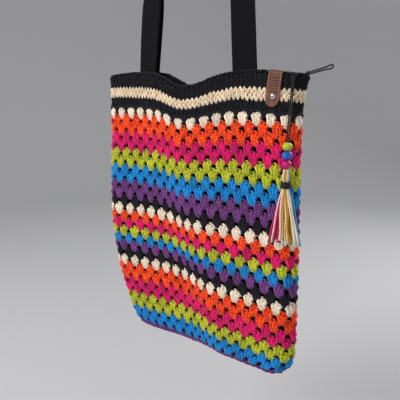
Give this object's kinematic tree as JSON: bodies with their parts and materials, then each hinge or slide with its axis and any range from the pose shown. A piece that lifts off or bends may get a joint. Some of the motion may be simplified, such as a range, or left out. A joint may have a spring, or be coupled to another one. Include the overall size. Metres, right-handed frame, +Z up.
{
  "type": "crochet market bag",
  "caption": "Striped crochet market bag with a dark rim, cloth lining, webbing handles, a riveted leather tab and a bead and tassel charm on a cord.",
  "frame": {"origin": "underside of the handles' top arch, where a hook or peg carries the bag", "axes": "+X to the right seen from the front, +Y from the front towards the back, +Z up"},
  "size_m": [0.3454, 0.0845, 0.7054],
  "materials": {
    "yarn_black": "matte cotton yarn",
    "yarn_beige": "matte cotton yarn",
    "yarn_cream": "matte cotton yarn",
    "yarn_orange": "matte cotton yarn",
    "yarn_magenta": "matte cotton yarn",
    "yarn_green": "matte cotton yarn",
    "yarn_blue": "matte cotton yarn",
    "yarn_purple": "matte cotton yarn",
    "lining_cloth": "plain woven cotton",
    "webbing": "woven cotton webbing",
    "leather": "smooth vegetable tanned",
    "rivet_metal": "polished nickel",
    "bead_green": "gloss",
    "bead_blue": "gloss",
    "bead_magenta": "gloss",
    "tassel_yarn": "mixed yarn",
    "cord_black": "waxed cotton cord"
  },
  "bodies": {
    "bag": {"rim_top_black": "yarn_black", "rim_beige": "yarn_beige", "rim_lower_black": "yarn_black", "stripe_01_cream": "yarn_cream", "stripe_02_orange": "yarn_orange", "stripe_03_magenta": "yarn_magenta", "stripe_04_green": "yarn_green", "stripe_05_blue": "yarn_blue", "stripe_06_purple": "yarn_purple", "stripe_07_black": "yarn_black", "stripe_08_cream": "yarn_cream", "stripe_09_orange": "yarn_orange", "stripe_10_magenta": "yarn_magenta", "stripe_11_green": "yarn_green", "stripe_12_blue": "yarn_blue", "stripe_13_purple": "yarn_purple", "stripe_14_black": "yarn_black", "stripe_15_cream": "yarn_cream", "stripe_16_orange": "yarn_orange", "stripe_17_magenta": "yarn_magenta", "stripe_18_green": "yarn_green", "stripe_19_blue": "yarn_blue", "base_purple": "yarn_purple", "lining": "lining_cloth", "front_handle": "webbing", "back_handle": "webbing", "leather_tab": "leather", "rivet_cap": "rivet_metal", "rivet_post": "rivet_metal", "rim_cord_a": "cord_black", "rim_cord_b": "cord_black", "cord_knot": "cord_black", "cord_loop": "cord_black"},
    "charm": {"charm_cord_a": "cord_black", "charm_cord_b": "cord_black", "bead_green": "bead_green", "bead_blue": "bead_blue", "bead_magenta": "bead_magenta", "tassel": "tassel_yarn", "tassel_binding": "cord_black"}
  },
  "joints": [
    {"name": "charm_swing", "type": "hinge", "parent": "bag", "child": "charm", "pos_m": [0.14582, -0.01541, -0.30412], "axis": [-1, 0, 0], "range_deg": [0, 100]}
  ]
}
